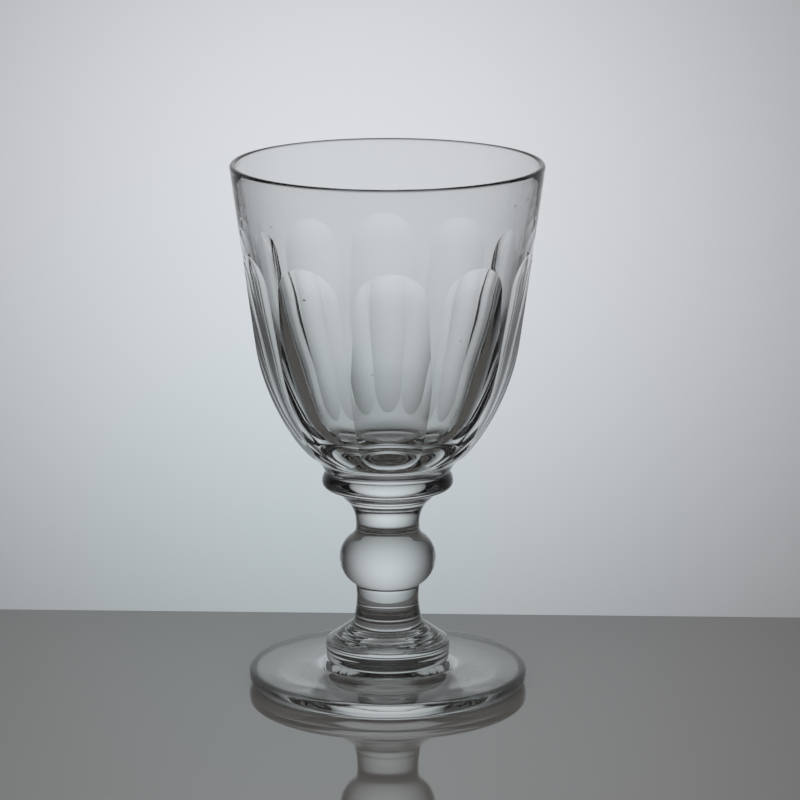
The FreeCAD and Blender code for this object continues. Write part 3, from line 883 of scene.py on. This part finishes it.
# floor, lit sheet close behind the glass, and light on the floor; in metres and degrees
stage = {
    "floorRadius": 0.42, "floorSides": 96,
    "floorDrop": 0.00003,     # so that the floor and the standing ring aren't in one plane
    "floorColour": (0.27, 0.256, 0.236), "floorRoughness": 0.04, "floorGloss": 1.5, "floorPolish": 0.8,
    "sheetReach": 0.5, "sheetBehind": 0.065, "sheetHeight": 0.10, "sheetTurn": -2.3,
    "sheetColour": (0.765, 0.773, 0.807), "sheetLowColour": (0.7, 0.773, 0.798),
    "sheetBeam": 3.6,         # a higher number sends the light of the sheet more straight ahead
    "sheetHalf": (0.125, 0.1), "sheetFade": 0.06,   # the lit part, and the width of its soft border
    "poolCentre": (-0.014, 0.0098), "poolSpread": (0.193, 0.183),   # where the sheet is brightest
    "lowCentre": (-0.03, -0.09), "lowSpread": (0.1, 0.095),   # where it is cooler
    "roomLight": 0.02,        # on surfaces that aren't glass
    "roomDark": 0.008,        # what the glass reflects beside the sheet
    "fillHalf": 1.5, "fillBehind": 0.3, "fillLight": 1.35,
}


def newPlane(name, half):
    data = bpy.data.meshes.new(name)
    mesh = bmesh.new()
    bmesh.ops.create_grid(mesh, x_segments=1, y_segments=1, size=half)
    mesh.to_mesh(data)
    mesh.free()
    plane = bpy.data.objects.new(name, data)
    scene.collection.objects.link(plane)
    return plane


def makeFloor(size):
    data = bpy.data.meshes.new("floor")
    mesh = bmesh.new()
    bmesh.ops.create_circle(mesh, cap_ends=True, segments=size["floorSides"], radius=size["floorRadius"])
    mesh.to_mesh(data)
    mesh.free()
    for vert in data.vertices:
        vert.co.z = -size["floorDrop"]
    floor = bpy.data.objects.new("floor", data)
    scene.collection.objects.link(floor)
    material, nodes, links, output = newMaterial("floorPaint")
    shader = nodes.new("ShaderNodeBsdfPrincipled")
    shader.inputs["Base Color"].default_value = (*size["floorColour"], 1)
    shader.inputs["Roughness"].default_value = size["floorRoughness"]
    shader.inputs["IOR"].default_value = size["floorGloss"]
    shader.inputs["Coat Weight"].default_value = size["floorPolish"]
    shader.inputs["Coat Roughness"].default_value = size["floorRoughness"]
    links.new(shader.outputs["BSDF"], output.inputs["Surface"])
    data.materials.append(material)


def addPool(nodes, links, coords, centre, spread):
    # a soft round patch on the sheet: 1 in its middle, falling to 0
    offset = nodes.new("ShaderNodeVectorMath")
    offset.operation = "SUBTRACT"
    offset.inputs[1].default_value = (*centre, 0)
    scaled = nodes.new("ShaderNodeVectorMath")
    scaled.operation = "DIVIDE"
    scaled.inputs[1].default_value = (*spread, 1)
    square = nodes.new("ShaderNodeVectorMath")
    square.operation = "DOT_PRODUCT"
    links.new(coords.outputs["Object"], offset.inputs[0])
    links.new(offset.outputs[0], scaled.inputs[0])
    links.new(scaled.outputs[0], square.inputs[0])
    links.new(scaled.outputs[0], square.inputs[1])
    return calculate(nodes, links, "POWER", 1 / math.e, square.outputs["Value"])


def makeSheet(size):
    sheet = newPlane("litSheet", size["sheetReach"])
    turn = math.radians(shot["around"])
    away = Vector((-math.sin(turn), math.cos(turn), 0)) * size["sheetBehind"]
    sheet.location = (away.x, away.y, size["sheetHeight"])
    sheet.rotation_euler = (math.radians(90), 0, turn + math.radians(size["sheetTurn"]))
    material, nodes, links, output = newMaterial("litSheet")
    coords = nodes.new("ShaderNodeTexCoord")
    level = addPool(nodes, links, coords, size["poolCentre"], size["poolSpread"])
    facing = nodes.new("ShaderNodeLayerWeight")
    # with this value 1 - Facing is the cosine of the slant to the power of sheetBeam
    facing.inputs["Blend"].default_value = 1 - 0.5 / size["sheetBeam"]
    tone = nodes.new("ShaderNodeMix")
    tone.data_type = "RGBA"
    tone.inputs[6].default_value = (*size["sheetColour"], 1)
    tone.inputs[7].default_value = (*size["sheetLowColour"], 1)
    spot = nodes.new("ShaderNodeVectorMath")
    spot.operation = "ABSOLUTE"
    sides = nodes.new("ShaderNodeSeparateXYZ")
    glow = nodes.new("ShaderNodeEmission")
    clear = nodes.new("ShaderNodeBsdfTransparent")
    geometry = nodes.new("ShaderNodeNewGeometry")
    mix = nodes.new("ShaderNodeMixShader")
    slant = calculate(nodes, links, "SUBTRACT", 1.0, facing.outputs["Facing"])
    level = calculate(nodes, links, "MULTIPLY", level, slant)
    links.new(addPool(nodes, links, coords, size["lowCentre"], size["lowSpread"]), tone.inputs[0])
    links.new(tone.outputs[2], glow.inputs["Color"])
    links.new(coords.outputs["Object"], spot.inputs[0])
    links.new(spot.outputs[0], sides.inputs[0])
    # the lit part of the sheet ends softly beyond the picture
    for axis, half in zip("XY", size["sheetHalf"]):
        border = nodes.new("ShaderNodeMapRange")
        border.interpolation_type = "SMOOTHSTEP"
        border.inputs["From Min"].default_value = half
        border.inputs["From Max"].default_value = half + size["sheetFade"]
        border.inputs["To Min"].default_value = 1.0
        border.inputs["To Max"].default_value = 0.0
        links.new(sides.outputs[axis], border.inputs["Value"])
        level = calculate(nodes, links, "MULTIPLY", level, border.outputs[0])
    links.new(level, glow.inputs["Strength"])
    links.new(geometry.outputs["Backfacing"], mix.inputs["Fac"])
    links.new(glow.outputs[0], mix.inputs[1])
    links.new(clear.outputs[0], mix.inputs[2])
    links.new(mix.outputs[0], output.inputs["Surface"])
    material.cycles.emission_sampling = "NONE"
    sheet.data.materials.append(material)
    # the sheet follows the camera, so that it is behind the glass from any side
    bpy.context.view_layer.update()
    sheet.parent = camera
    sheet.matrix_parent_inverse = camera.matrix_world.inverted()


def makeFill(size):
    # wide soft light behind the camera, which only rays from the floor see
    fill = newPlane("fillLight", size["fillHalf"])
    material, nodes, links, output = newMaterial("fillLight")
    path = nodes.new("ShaderNodeLightPath")
    clear = nodes.new("ShaderNodeBsdfTransparent")
    glow = nodes.new("ShaderNodeEmission")
    glow.inputs["Strength"].default_value = size["fillLight"]
    mix = nodes.new("ShaderNodeMixShader")
    links.new(path.outputs["Diffuse Depth"], mix.inputs["Fac"])
    links.new(clear.outputs[0], mix.inputs[1])
    links.new(glow.outputs[0], mix.inputs[2])
    links.new(mix.outputs[0], output.inputs["Surface"])
    material.cycles.emission_sampling = "NONE"
    fill.data.materials.append(material)
    fill.parent = camera
    fill.location = (0, 0, size["fillBehind"])


def makeWorld(size):
    # dark for the glass, softly lit for the floor, and as pale as the sheet past its edge
    world = bpy.data.worlds.new("room")
    world.use_nodes = True
    nodes, links = world.node_tree.nodes, world.node_tree.links
    nodes.clear()
    output = nodes.new("ShaderNodeOutputWorld")
    path = nodes.new("ShaderNodeLightPath")
    dark = nodes.new("ShaderNodeBackground")
    dark.inputs["Color"].default_value = (*[size["roomDark"]] * 3, 1)
    soft = nodes.new("ShaderNodeBackground")
    soft.inputs["Color"].default_value = (1, 1, 1, 1)
    soft.inputs["Strength"].default_value = size["roomLight"]
    pale = nodes.new("ShaderNodeBackground")
    pale.inputs["Color"].default_value = (*size["sheetColour"], 1)
    onFloor = nodes.new("ShaderNodeMixShader")
    seen = nodes.new("ShaderNodeMixShader")
    links.new(path.outputs["Diffuse Depth"], onFloor.inputs["Fac"])
    links.new(dark.outputs[0], onFloor.inputs[1])
    links.new(soft.outputs[0], onFloor.inputs[2])
    links.new(path.outputs["Is Camera Ray"], seen.inputs["Fac"])
    links.new(onFloor.outputs[0], seen.inputs[1])
    links.new(pale.outputs[0], seen.inputs[2])
    links.new(seen.outputs[0], output.inputs["Surface"])
    world.cycles.sampling_method = "NONE"
    scene.world = world


makeFloor(stage)
makeSheet(stage)
makeFill(stage)
makeWorld(stage)
scene.view_settings.view_transform = "Standard"
scene.cycles.max_bounces = 32
scene.cycles.glossy_bounces = 24
scene.cycles.transmission_bounces = 32
scene.cycles.transparent_max_bounces = 24
print("stage set")
